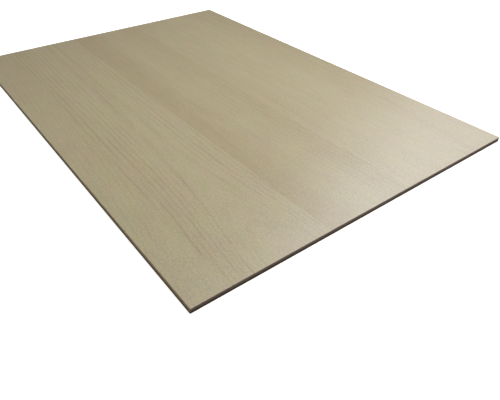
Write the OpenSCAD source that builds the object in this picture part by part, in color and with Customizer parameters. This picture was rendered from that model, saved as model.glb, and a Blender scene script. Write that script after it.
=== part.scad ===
// Maple veneered fibreboard sheet, lying flat with its face veneer up.
// X runs along the length and the grain, Y across the width, and Z up.
// The origin is at the middle of the underside.

/* [Sheet] */
// Length of the sheet, along the grain
sheet_l = 800; // [300:1:3050]
// Width of the sheet, across the grain
sheet_w = 600; // [150:1:1525]

/* [Core] */
// Thickness of the fibreboard core
core_t = 6; // [2:0.1:30]

/* [Veneer] */
// Thickness of the maple veneer on the face
face_veneer_t = 0.5; // [0.3:0.05:3]
// Thickness of the balancing veneer on the back
back_veneer_t = 0.5; // [0.3:0.05:3]

/* [Hidden] */

// The layers are pressed together into one board and sawn to size in one pass,
// so all three share one outline and each lies on the one below it.
core_z = back_veneer_t;
face_veneer_z = core_z + core_t;

// One full layer of the sheet, its underside at the given height
module layer(height, thickness) {
    translate([-sheet_l / 2, -sheet_w / 2, height])
        cube([sheet_l, sheet_w, thickness]);
}

// Plainer maple on the underside, which keeps the board from bowing
module back_veneer() {
    color("#aea384")
        layer(0, back_veneer_t);
}

// Medium density fibreboard, which shows only at the sawn edges
module mdf_core() {
    color("#645445")
        layer(core_z, core_t);
}

// Maple leaves jointed edge to edge into one sheet of veneer
module face_veneer() {
    color("#b5ab91")
        layer(face_veneer_z, face_veneer_t);
}

back_veneer();
mdf_core();
face_veneer();
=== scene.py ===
import bpy
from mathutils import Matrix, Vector


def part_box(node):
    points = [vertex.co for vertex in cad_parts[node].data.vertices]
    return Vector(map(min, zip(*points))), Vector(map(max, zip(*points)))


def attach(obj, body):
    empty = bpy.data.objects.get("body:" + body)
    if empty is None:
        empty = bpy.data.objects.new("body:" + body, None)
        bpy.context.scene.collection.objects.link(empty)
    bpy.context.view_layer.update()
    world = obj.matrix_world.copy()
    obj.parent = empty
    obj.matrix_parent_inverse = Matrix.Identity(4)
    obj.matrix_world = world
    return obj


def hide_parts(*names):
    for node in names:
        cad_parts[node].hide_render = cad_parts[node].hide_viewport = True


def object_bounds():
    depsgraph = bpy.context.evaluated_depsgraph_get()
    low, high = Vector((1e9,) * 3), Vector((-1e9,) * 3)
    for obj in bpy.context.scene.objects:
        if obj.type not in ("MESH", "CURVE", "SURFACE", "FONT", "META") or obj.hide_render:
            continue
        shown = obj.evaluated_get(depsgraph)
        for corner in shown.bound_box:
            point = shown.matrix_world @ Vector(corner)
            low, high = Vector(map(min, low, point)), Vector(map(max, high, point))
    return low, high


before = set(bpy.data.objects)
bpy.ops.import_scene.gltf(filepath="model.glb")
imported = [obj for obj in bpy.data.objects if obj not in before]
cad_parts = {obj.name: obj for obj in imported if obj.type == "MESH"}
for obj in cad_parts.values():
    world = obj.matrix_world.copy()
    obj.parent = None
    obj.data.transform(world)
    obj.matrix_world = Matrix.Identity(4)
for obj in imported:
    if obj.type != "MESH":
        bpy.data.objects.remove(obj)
cad_low, cad_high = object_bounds()
MM = 0.001


# ---- Core ----------------------------------------------------------------------------------------
# The core is medium density fibreboard: softwood fibres and resin, hot pressed into one grey brown
# sheet. Its two skins are pressed harder than its middle. It shows only where the saw cut the board.

def linear(hex_colour):
    """An sRGB colour such as #a08060 as linear red, green, blue and alpha."""
    shares = [int(hex_colour[i:i + 2], 16) / 255 for i in (1, 3, 5)]
    return [s / 12.92 if s <= 0.04045 else ((s + 0.055) / 1.055) ** 2.4 for s in shares] + [1.0]


def add(tree, kind, inputs, **settings):
    """Adds a node with its settings. An input takes a value, a socket, or a node for its first output.

    Inputs go by name or number. A mix of two colours has its share at 0 and the colours at 6 and 7.
    """
    node = tree.nodes.new(kind)
    for name, value in settings.items():
        setattr(node, name, value)
    for name, value in inputs.items():
        if isinstance(value, bpy.types.Node):
            value = next(output for output in value.outputs if output.enabled)
        if isinstance(value, bpy.types.NodeSocket):
            tree.links.new(value, node.inputs[name])
        else:
            node.inputs[name].default_value = value
    return node


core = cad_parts["mdf_core"]
core_low, core_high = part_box("mdf_core")

# Fibreboard, sawn with a fine blade and left bare. To the eye it is a matt brown, felted from fibres
# too short to follow. Its brown is painted darker than bare fibreboard is, and darker still towards
# the underside and lighter towards the top: painted shade.
fibreboard = bpy.data.materials.new("fibreboard_sawn")
fibreboard.use_nodes = True
tree = fibreboard.node_tree
shader = tree.nodes["Principled BSDF"]
at = add(tree, "ShaderNodeTexCoord", {}).outputs["Object"]
# The long edges are painted lighter than the ends: painted light.
PAINTED_LONG_EDGE_LIGHT = 0.4
facing = add(tree, "ShaderNodeNewGeometry", {}).outputs["Normal"]
facing = add(tree, "ShaderNodeSeparateXYZ", {"Vector": facing}).outputs["Y"]
facing = add(tree, "ShaderNodeMath", {0: facing}, operation="ABSOLUTE")
painted_long_edge_light = add(tree, "ShaderNodeMath", {0: facing, 1: PAINTED_LONG_EDGE_LIGHT}, operation="MULTIPLY")
height = add(tree, "ShaderNodeSeparateXYZ", {"Vector": at}).outputs["Z"]
height = add(tree, "ShaderNodeMapRange", {
    "Value": height, "From Min": core_low.z, "From Max": core_high.z, "To Min": painted_long_edge_light})
# The ramp paints shade: darkest at the underside and lightest at the top.
painted_shade_ramp = add(tree, "ShaderNodeValToRGB", {"Fac": height})
painted_shade_ramp.color_ramp.elements[0].color = linear("#45382e")
painted_shade_ramp.color_ramp.elements[1].color = linear("#826f5a")
painted_shade_ramp.color_ramp.elements.new(0.45).color = linear("#625244")
# The clumps of fibre are drawn 3 mm across, coarser than the real 1 mm, so that they show.
CLUMP = 3 * MM
CLUMP_DEPTH = 0.1 * MM
clumps = add(tree, "ShaderNodeTexNoise", {
    "Vector": at, "Scale": 1 / CLUMP, "Detail": 3, "Roughness": 0.6})
felt = add(tree, "ShaderNodeMapRange", {
    "Value": clumps, "From Min": 0.3, "From Max": 0.7, "To Min": 0.85, "To Max": 1.15})
brown = add(tree, "ShaderNodeVectorMath", {0: painted_shade_ramp, "Scale": felt}, operation="SCALE")
# Where the painted light lifts them, the long edges are also painted a breath greener and yellower.
LESS_RED_AND_BLUE = (-0.08, 0.0, -0.2)
tint = add(tree, "ShaderNodeVectorMath", {0: LESS_RED_AND_BLUE, "Scale": facing}, operation="SCALE")
tint = add(tree, "ShaderNodeVectorMath", {0: tint, 1: (1.0, 1.0, 1.0)}, operation="ADD")
brown = add(tree, "ShaderNodeVectorMath", {0: brown, 1: tint}, operation="MULTIPLY")
tree.links.new(brown.outputs["Vector"], shader.inputs["Base Color"])
shader.inputs["Roughness"].default_value = 0.85
fuzz = add(tree, "ShaderNodeBump", {"Height": clumps, "Strength": 0.3, "Distance": CLUMP_DEPTH})
tree.links.new(fuzz.outputs["Normal"], shader.inputs["Normal"])
core.data.materials[0] = fibreboard


# ---- Veneer leaves -------------------------------------------------------------------------------
# Each veneer is maple, sliced flat from one log, so that its rings show as long arches which open
# towards the butt of the tree. The leaves are jointed edge to edge, pressed on and sanded.

# Sanding eases the sheet's arrises, and eases the joints between the leaves by a hair.
ARRIS_EASE = 0.35 * MM
JOINT_EASE = 0.06 * MM
# Two points closer than this are in one place.
NEAR = 0.01 * MM


def pick_edges(piece, test):
    """Selects just the edges whose two ends both pass the test, in edit mode."""
    bpy.ops.mesh.select_mode(type="EDGE")
    bpy.ops.mesh.select_all(action="DESELECT")
    bpy.ops.object.mode_set(mode="OBJECT")
    points = piece.data.vertices
    for edge in piece.data.edges:
        edge.select = all(test(points[i].co) for i in edge.vertices)
    bpy.ops.object.mode_set(mode="EDIT")


def lay_leaf(name, veneer, left, right, show_z, slice_number, heart, stain, bold, arch):
    """One leaf of a veneer, from its left joint to its right, with the figure that its slice has.

    show_z is the height of the side that shows. heart is how far right of the left joint the middle
    of the log runs, in millimetres, at the far end and at the near end. stain is how brown the leaf
    is at even steps across it, bold how plain its lines are, and arch how plain the arch round the
    heart is among them, at the leaf's left and at its right.
    """
    low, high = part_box(veneer)
    bpy.ops.object.select_all(action="DESELECT")
    bpy.ops.mesh.primitive_cube_add(
        size=1, location=((low.x + high.x) / 2, (left + right) / 2, (low.z + high.z) / 2),
        scale=(high.x - low.x, right - left, high.z - low.z))
    leaf = bpy.context.object
    leaf.name = name
    leaf.data.name = name
    bpy.ops.object.transform_apply(location=True, rotation=True, scale=True)
    bpy.ops.object.mode_set(mode="EDIT")
    for side in (left, right):
        outer = min(abs(side - low.y), abs(side - high.y)) < NEAR
        pick_edges(leaf, lambda p: abs(p.y - side) < NEAR and abs(p.z - show_z) < NEAR)
        bpy.ops.mesh.bevel(offset=ARRIS_EASE if outer else JOINT_EASE, segments=2)
    for end in (low.x, high.x):
        pick_edges(leaf, lambda p: abs(p.x - end) < NEAR and abs(p.z - show_z) < NEAR)
        bpy.ops.mesh.bevel(offset=ARRIS_EASE, segments=2)
    # At each corner the two bevels leave two points in one place, which are made one.
    bpy.ops.mesh.select_all(action="SELECT")
    bpy.ops.mesh.remove_doubles(threshold=NEAR)
    # The leaf is cut into strips along the grain, whose edges hold the steps of its stain.
    steps = len(stain) - 1
    for step in range(1, steps):
        bpy.ops.mesh.select_all(action="SELECT")
        bpy.ops.mesh.bisect(
            plane_co=(0, left + (right - left) * step / steps, 0), plane_no=(0, 1, 0))
    bpy.ops.object.mode_set(mode="OBJECT")

    marks = {"heart": [], "stain": [], "bold": [], "arch": [], "slice": []}
    for point in leaf.data.vertices:
        along = (point.co.x - low.x) / (high.x - low.x)
        across = (point.co.y - left) / (right - left)
        step = max(0, min(int(across * steps), steps - 1))
        stain_left, stain_right = stain[step:step + 2]
        marks["heart"].append(left + (heart[0] + (heart[1] - heart[0]) * along) * MM)
        marks["stain"].append(stain_left + (stain_right - stain_left) * (across * steps - step))
        marks["bold"].append(bold)
        marks["arch"].append(arch[0] + (arch[1] - arch[0]) * across)
        marks["slice"].append(slice_number)
    for what, values in marks.items():
        leaf.data.attributes.new(what, "FLOAT", "POINT").data.foreach_set("value", values)
    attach(leaf, "root")
    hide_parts(veneer)
    return leaf


# Flat sliced maple, sanded with fine paper. To the eye it is a pale grey straw with a silky sheen.
# A thin brown line closes each year, and short fibres and rays give it a fine mottled nap.
maple = bpy.data.materials.new("maple_sliced_sanded")
maple.use_nodes = True
tree = maple.node_tree
shader = tree.nodes["Principled BSDF"]
at = add(tree, "ShaderNodeTexCoord", {}).outputs["Object"]
heart = add(tree, "ShaderNodeAttribute", {}, attribute_name="heart").outputs["Fac"]
stain = add(tree, "ShaderNodeAttribute", {}, attribute_name="stain").outputs["Fac"]
bold = add(tree, "ShaderNodeAttribute", {}, attribute_name="bold").outputs["Fac"]
arch = add(tree, "ShaderNodeAttribute", {}, attribute_name="arch").outputs["Fac"]
slice_number = add(tree, "ShaderNodeAttribute", {}, attribute_name="slice").outputs["Fac"]
# Each leaf comes from its own depth in the log, so its fibres differ from its neighbour's.
lift = add(tree, "ShaderNodeCombineXYZ", {"Z": slice_number})
in_log = add(tree, "ShaderNodeVectorMath", {0: at, 1: lift}, operation="ADD")
apart = add(tree, "ShaderNodeSeparateXYZ", {"Vector": at})


def grain(along, across, detail, roughness=0.55):
    """Wood that varies over this length along the grain and this length across it."""
    drawn_out = add(tree, "ShaderNodeMapping", {
        "Vector": in_log, "Scale": (1 / along, 1 / across, 1.0)})
    return add(tree, "ShaderNodeTexNoise", {
        "Vector": drawn_out, "Scale": 1.0, "Detail": detail, "Roughness": roughness})


# The years are rings round the heart of the log, thin near it and wider outwards, so that they meet
# the face about 9 mm apart. The knife passed 48 mm from the heart, but over the last stretch before
# the near end the butt flares, and it ran in to the heart.
YEAR = 9.3 * MM
KNIFE_DEPTH = 48 * MM
BUTT_LENGTH = 76 * MM
to_end = add(tree, "ShaderNodeMath", {0: apart.outputs["X"], 1: cad_high.x}, operation="SUBTRACT")
to_end = add(tree, "ShaderNodeMath", {0: to_end, 1: BUTT_LENGTH}, operation="DIVIDE")
flare = add(tree, "ShaderNodeMath", {0: to_end}, operation="EXPONENT")
depth = add(tree, "ShaderNodeMath", {
    0: flare, 1: -KNIFE_DEPTH, 2: KNIFE_DEPTH}, operation="MULTIPLY_ADD")
# No log grows straight: its rings wander over a long stretch, and wobble over a short one.
WANDER = 10 * MM
WOBBLE = 2.6 * MM
wander = add(tree, "ShaderNodeMath", {
    0: grain(250 * MM, 50 * MM, 2), 1: WANDER, 2: -WANDER / 2}, operation="MULTIPLY_ADD")
wobble = add(tree, "ShaderNodeMath", {
    0: grain(60 * MM, 9 * MM, 1), 1: WOBBLE, 2: -WOBBLE / 2}, operation="MULTIPLY_ADD")
across = add(tree, "ShaderNodeMath", {0: apart.outputs["Y"], 1: heart}, operation="SUBTRACT")
across = add(tree, "ShaderNodeMath", {0: across, 1: wander}, operation="ADD")
across = add(tree, "ShaderNodeMath", {0: across, 1: wobble}, operation="ADD")
from_heart = add(tree, "ShaderNodeCombineXYZ", {"X": across, "Y": depth})
from_heart = add(tree, "ShaderNodeVectorMath", {
    0: from_heart, 1: from_heart}, operation="DOT_PRODUCT").outputs["Value"]
outside = add(tree, "ShaderNodeMath", {
    0: from_heart, 1: KNIFE_DEPTH ** 2}, operation="SUBTRACT")
side = add(tree, "ShaderNodeMath", {0: outside}, operation="SIGN")
years = add(tree, "ShaderNodeMath", {0: outside}, operation="ABSOLUTE")
years = add(tree, "ShaderNodeMath", {0: years}, operation="SQRT")
years = add(tree, "ShaderNodeMath", {0: years, 1: side}, operation="MULTIPLY")
years = add(tree, "ShaderNodeMath", {0: years, 1: YEAR}, operation="DIVIDE")
year = add(tree, "ShaderNodeMath", {0: years}, operation="FLOOR")
season = add(tree, "ShaderNodeMath", {0: years}, operation="FRACT")
# The line thickens towards the year's end and stops sharply at the next spring.
autumn = add(tree, "ShaderNodeMapRange", {
    "Value": season, "From Min": 0.45, "From Max": 0.86}, interpolation_type="SMOOTHSTEP")
spring = add(tree, "ShaderNodeMapRange", {
    "Value": season, "From Min": 0.9, "To Min": 1, "To Max": 0}, interpolation_type="SMOOTHSTEP")
line = add(tree, "ShaderNodeMath", {0: autumn, 1: spring}, operation="MULTIPLY")
# Some years close with a strong line and some with hardly any, and every line fades here and there.
# A leaf's years are numbered far from its neighbour's, so that each leaf draws its own.
LEAF_YEARS = 971
seed = add(tree, "ShaderNodeMath", {
    0: slice_number, 1: LEAF_YEARS, 2: year}, operation="MULTIPLY_ADD")
chance = add(tree, "ShaderNodeTexWhiteNoise", {"W": seed}, noise_dimensions="1D").outputs["Value"]
strength = add(tree, "ShaderNodeMapRange", {"Value": chance, "To Min": 0.2, "To Max": 0.85})
line = add(tree, "ShaderNodeMath", {0: line, 1: strength}, operation="MULTIPLY")
fade = add(tree, "ShaderNodeMapRange", {
    "Value": grain(90 * MM, 12 * MM, 2), "From Min": 0.35, "From Max": 0.6, "To Min": 0.2})
line = add(tree, "ShaderNodeMath", {0: line, 1: fade}, operation="MULTIPLY")
# The first years round the heart hardly show, but the knife meets the next one at a slant, so that
# it makes the broadest and softest line of all. It is plainest where the butt flares.
young = add(tree, "ShaderNodeMapRange", {
    "Value": years, "From Min": -1, "From Max": 0.5, "To Min": 0.25})
line = add(tree, "ShaderNodeMath", {0: line, 1: young}, operation="MULTIPLY")
slant = add(tree, "ShaderNodeMapRange", {
    "Value": years, "From Min": 0.2, "From Max": 0.9}, interpolation_type="SMOOTHSTEP")
slant_end = add(tree, "ShaderNodeMapRange", {
    "Value": years, "From Min": 1.2, "From Max": 2.0, "To Min": 1, "To Max": 0},
    interpolation_type="SMOOTHSTEP")
slant = add(tree, "ShaderNodeMath", {0: slant, 1: slant_end}, operation="MULTIPLY")
plain = add(tree, "ShaderNodeMath", {0: flare, 1: 1.0}, operation="ADD")
plain = add(tree, "ShaderNodeMath", {0: plain, 1: arch}, operation="MULTIPLY")
slant = add(tree, "ShaderNodeMath", {0: slant, 1: plain}, operation="MULTIPLY")
slant = add(tree, "ShaderNodeMath", {0: slant, 1: fade}, operation="MULTIPLY")
line = add(tree, "ShaderNodeMath", {0: line, 1: slant}, operation="MAXIMUM")
line = add(tree, "ShaderNodeMath", {0: line, 1: bold}, operation="MULTIPLY")

PALE_WOOD = linear("#ab9f7f")
BROWN_WOOD = linear("#8d7752")
LINE_BROWN = linear("#6b5d35")
SAWN_AND_SHADED_BROWN = linear("#685b4a")
# Wood a little paler than the pale has a stain below nothing, so the share isn't clamped.
colour = add(tree, "ShaderNodeMix", {
    0: stain, 6: PALE_WOOD, 7: BROWN_WOOD}, data_type="RGBA", clamp_factor=False)
colour = add(tree, "ShaderNodeMix", {0: line, 6: colour, 7: LINE_BROWN}, data_type="RGBA")
# Where they are sawn through, the veneers are painted as dark as the core: partly the darker tone of
# sawn wood, partly painted shade on their upright sides.
facing = add(tree, "ShaderNodeNewGeometry", {}).outputs["Normal"]
facing = add(tree, "ShaderNodeSeparateXYZ", {"Vector": facing}).outputs["Z"]
facing = add(tree, "ShaderNodeMath", {0: facing}, operation="ABSOLUTE")
sawn_and_shaded = add(tree, "ShaderNodeMapRange", {
    "Value": facing, "From Max": 0.6, "To Min": 0.9, "To Max": 0.0})
colour = add(tree, "ShaderNodeMix", {0: sawn_and_shaded, 6: colour, 7: SAWN_AND_SHADED_BROWN}, data_type="RGBA")
# Light and dark: broad clouds, fibres, and the nap, which is drawn 2 to 3 mm across, because its real
# fibres of 0.1 mm are too fine to show.
CLOUD = 0.18
FIBRE = 0.2
NAP = 0.56
cloud = add(tree, "ShaderNodeMath", {
    0: grain(70 * MM, 25 * MM, 4, 0.7), 1: CLOUD, 2: 1 - CLOUD / 2}, operation="MULTIPLY_ADD")
fibre = add(tree, "ShaderNodeMath", {
    0: grain(16 * MM, 1.8 * MM, 3), 1: FIBRE, 2: -FIBRE / 2}, operation="MULTIPLY_ADD")
nap = add(tree, "ShaderNodeMath", {
    0: grain(3.0 * MM, 2.1 * MM, 1), 1: NAP, 2: -NAP / 2}, operation="MULTIPLY_ADD")
shade = add(tree, "ShaderNodeMath", {0: cloud, 1: fibre}, operation="ADD")
shade = add(tree, "ShaderNodeMath", {0: shade, 1: nap}, operation="ADD")
colour = add(tree, "ShaderNodeVectorMath", {0: colour, "Scale": shade}, operation="SCALE")
# No patch of maple has quite the hue of the next: one is a breath pinker, another greener.
HUES = Vector((0.2, 0.2, 0.28))
hue = grain(50 * MM, 30 * MM, 4, 0.85).outputs["Color"]
hue = add(tree, "ShaderNodeVectorMath", {
    0: hue, 1: HUES, 2: Vector((1, 1, 1)) - HUES / 2}, operation="MULTIPLY_ADD")
colour = add(tree, "ShaderNodeVectorMath", {0: colour, 1: hue}, operation="MULTIPLY")
tree.links.new(colour.outputs["Vector"], shader.inputs["Base Color"])
shader.inputs["Roughness"].default_value = 0.36

# The leaves of the face, from the left edge to the right, each with its width in millimetres and its
# figure. They are all of one width, but the outer two are trimmed. The third was cut beside a brown
# streak in the log.
FACE_LEAVES = [
    (55, {"heart": (110, 60), "bold": 0.15, "arch": (0.2, 0.2),
          "stain": (-0.03, -0.015, 0.01)}),
    (156, {"heart": (96, 81), "bold": 0.33, "arch": (0.65, 0.2),
           "stain": (0.05, -0.04, -0.06, -0.055, -0.02)}),
    (156, {"heart": (42, 36), "bold": 0.22, "arch": (0.12, 0.12),
           "stain": (0.21, 0.195, 0.14, 0.055, 0.01, 0.01, 0.05, 0.1, 0.125)}),
    (156, {"heart": (72, 72), "bold": 0.25, "arch": (0.2, 0.2),
           "stain": (0.0, -0.01, -0.04, -0.05, -0.03)}),
    (77, {"heart": (56, 56), "bold": 0.35, "arch": (0.25, 0.25),
          "stain": (0.0, 0.08, 0.135)}),
]
face_low, face_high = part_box("face_veneer")
joint = face_low.y
for number, (width, figure) in enumerate(FACE_LEAVES):
    next_joint = joint + width * MM
    leaf = lay_leaf("face_leaf_" + str(number + 1), "face_veneer", joint, next_joint, face_high.z,
                    number, **figure)
    leaf.data.materials.append(maple)
    joint = next_joint

# The back is four even leaves, laid with their face down, each with the heart along its middle. They
# are plainer than the face.
BACK_LEAVES = 4
BACK_FIGURE = {"heart": (75, 75), "stain": (0.06, 0.02, 0.0), "bold": 0.2, "arch": (0.2, 0.2)}
back_low, back_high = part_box("back_veneer")
back_width = (back_high.y - back_low.y) / BACK_LEAVES
for number in range(BACK_LEAVES):
    joint = back_low.y + number * back_width
    leaf = lay_leaf("back_leaf_" + str(number + 1), "back_veneer", joint, joint + back_width,
                    back_low.z, len(FACE_LEAVES) + number, **BACK_FIGURE)
    leaf.data.materials.append(maple)


# ---- Floor and walls -----------------------------------------------------------------------------
# The sheet lies on plain white paper in a white room. The paper is matt, and a thin line of shadow
# is painted on it round the sheet.

FLOOR_SIDE = 12
# The paper is a touch below the sheet, so that no face of one lies in a face of the other.
FLOOR_DROP = 0.05 * MM
bpy.ops.object.select_all(action="DESELECT")
bpy.ops.mesh.primitive_plane_add(size=FLOOR_SIDE, location=(0, 0, -FLOOR_DROP))
floor = bpy.context.object
floor.name = "floor"
# It is cut away under the sheet, all but a rim, so that the back veneer can be seen from below.
RIM = 1 * MM
bpy.ops.object.mode_set(mode="EDIT")
for side in (-1, 1):
    bpy.ops.mesh.select_all(action="SELECT")
    bpy.ops.mesh.bisect(plane_co=(side * (cad_high.x - RIM), 0, 0), plane_no=(1, 0, 0))
    bpy.ops.mesh.select_all(action="SELECT")
    bpy.ops.mesh.bisect(plane_co=(0, side * (cad_high.y - RIM), 0), plane_no=(0, 1, 0))
bpy.ops.mesh.select_mode(type="FACE")
bpy.ops.mesh.select_all(action="DESELECT")
bpy.ops.object.mode_set(mode="OBJECT")
under_sheet = min(floor.data.polygons, key=lambda face: face.center.length)
under_sheet.select = True
bpy.ops.object.mode_set(mode="EDIT")
bpy.ops.mesh.delete(type="FACE")
bpy.ops.object.mode_set(mode="OBJECT")
paper = bpy.data.materials.new("white_paper")
paper.use_nodes = True
tree = paper.node_tree
tree.nodes.remove(tree.nodes["Principled BSDF"])
# The painted shadow runs round the sheet, dark under its eased lower arris and gone a little way out.
LINE_DARK = 0.45 * MM
LINE_GONE = 1.2 * MM
beside = add(tree, "ShaderNodeTexCoord", {}).outputs["Object"]
beside = add(tree, "ShaderNodeVectorMath", {0: beside}, operation="ABSOLUTE")
beside = add(tree, "ShaderNodeVectorMath", {
    0: beside, 1: (cad_high.x, cad_high.y, 0.0)}, operation="SUBTRACT")
beside = add(tree, "ShaderNodeVectorMath", {0: beside, 1: (0.0, 0.0, 0.0)}, operation="MAXIMUM")
beside = add(tree, "ShaderNodeVectorMath", {0: beside}, operation="LENGTH").outputs["Value"]
clear = add(tree, "ShaderNodeMapRange", {
    "Value": beside, "From Min": LINE_DARK, "From Max": LINE_GONE}, interpolation_type="SMOOTHSTEP")
# Where the painted shadow fades, the paper is painted a warm tint of the wood's colour.
paper_and_painted_shadow = add(tree, "ShaderNodeValToRGB", {"Fac": clear})
paper_and_painted_shadow.color_ramp.elements[0].color = linear("#000000")
paper_and_painted_shadow.color_ramp.elements[1].color = linear("#ffffff")
paper_and_painted_shadow.color_ramp.elements.new(0.6).color = linear("#d4c6a8")
# Paper sends back this share of the light that falls on it.
PAPER_WHITE = 0.79
pale = add(tree, "ShaderNodeVectorMath", {0: paper_and_painted_shadow, "Scale": PAPER_WHITE}, operation="SCALE")
matt = add(tree, "ShaderNodeBsdfDiffuse", {"Color": pale.outputs["Vector"]})
# To the camera, and in reflections, it also glows, so that it is seen as plain white. Away from the
# sheet the lamps fall off, and the glow makes up for it.
FAR_AWAY = 1.6
path = add(tree, "ShaderNodeLightPath", {})
seen = add(tree, "ShaderNodeMath", {
    0: path.outputs["Is Camera Ray"], 1: path.outputs["Is Glossy Ray"]}, operation="MAXIMUM")
seen = add(tree, "ShaderNodeMath", {
    0: seen, 1: path.outputs["Is Transmission Ray"]}, operation="MAXIMUM")
white = add(tree, "ShaderNodeMapRange", {"Value": beside, "From Max": FAR_AWAY, "To Min": 0.8})
seen = add(tree, "ShaderNodeMath", {0: seen, 1: white}, operation="MULTIPLY")
glow = add(tree, "ShaderNodeEmission", {"Color": paper_and_painted_shadow, "Strength": seen})
both = add(tree, "ShaderNodeAddShader", {0: matt, 1: glow})
tree.links.new(both.outputs[0], tree.nodes["Material Output"].inputs["Surface"])
floor.data.materials.append(paper)

# The walls are seen as white, but send only a little light to the sheet.
WALL_LIGHT = 0.12
world = bpy.data.worlds.new("studio")
bpy.context.scene.world = world
world.use_nodes = True
tree = world.node_tree
walls = tree.nodes["Background"]
walls.inputs["Color"].default_value = linear("#ffffff")
path = add(tree, "ShaderNodeLightPath", {})
strength = add(tree, "ShaderNodeMapRange", {
    "Value": path.outputs["Is Camera Ray"], "To Min": WALL_LIGHT})
tree.links.new(strength.outputs[0], walls.inputs["Strength"])


# ---- Lamps ---------------------------------------------------------------------------------------
# Five square soft boxes light the sheet: one hangs over it, two stand to its right as a tall window,
# one fills in from its left, and one lights its back from under the floor. The camera doesn't see them.

WINDOW_WHITE = "#f0f2ff"


def lamp(name, place, aim, side, watts, colour="#ffffff"):
    """A soft box lamp of this side at a place, turned to its aim."""
    bpy.ops.object.light_add(type="AREA", location=place)
    box = bpy.context.object
    box.name = name
    box.rotation_euler = (Vector(aim) - Vector(place)).to_track_quat("-Z", "Y").to_euler()
    box.data.size = side
    box.data.energy = watts
    box.data.color = linear(colour)[:3]
    box.visible_camera = False
    return box


lamp("overhead", place=(0.23, 0.29, 1.2), aim=(0.23, 0.29, 0), side=0.7, watts=11.8)
lamp("window_low", place=(-0.44, 3.04, 1.24), aim=(0.2, 0.05, 0), side=1.6, watts=15.4,
     colour=WINDOW_WHITE)
lamp("window_high", place=(-0.58, 2.2, 2.37), aim=(0.2, 0.05, 0), side=1.2, watts=44.3,
     colour=WINDOW_WHITE)
left_fill = lamp("left_fill", place=(-0.35, -2.99, 0.78), aim=(-0.1, -0.1, 0), side=1.2, watts=25.5)
# It is low, and its reflection would wash out the face from the far side.
left_fill.visible_glossy = False
lamp("under_fill", place=(0, 0, -1.5), aim=(0, 0, 0), side=1.2, watts=28)


# ---- Camera --------------------------------------------------------------------------------------
# It stands off the corner of the near end and the left edge, and looks down along the sheet. Its
# places are given from that corner of the face.

LENS = 33.92
# The middle of the lens is this share of the frame's width to the left of the frame's middle.
SHIFT = 0.1
CAMERA_PLACE = Vector((261.3, -169.4, 396.6)) * MM
CAMERA_AIM = Vector((-142.8, 111.8, 0)) * MM
scene = bpy.context.scene
scene.view_settings.view_transform = "Standard"
near_corner = Vector((cad_high.x, cad_low.y, cad_high.z))
camera_data = bpy.data.cameras.new("camera")
camera_data.lens = LENS
camera_data.shift_x = SHIFT
camera = bpy.data.objects.new("camera", camera_data)
scene.collection.objects.link(camera)
camera.location = near_corner + CAMERA_PLACE
camera.rotation_euler = (CAMERA_AIM - CAMERA_PLACE).to_track_quat("-Z", "Y").to_euler()
scene.camera = camera
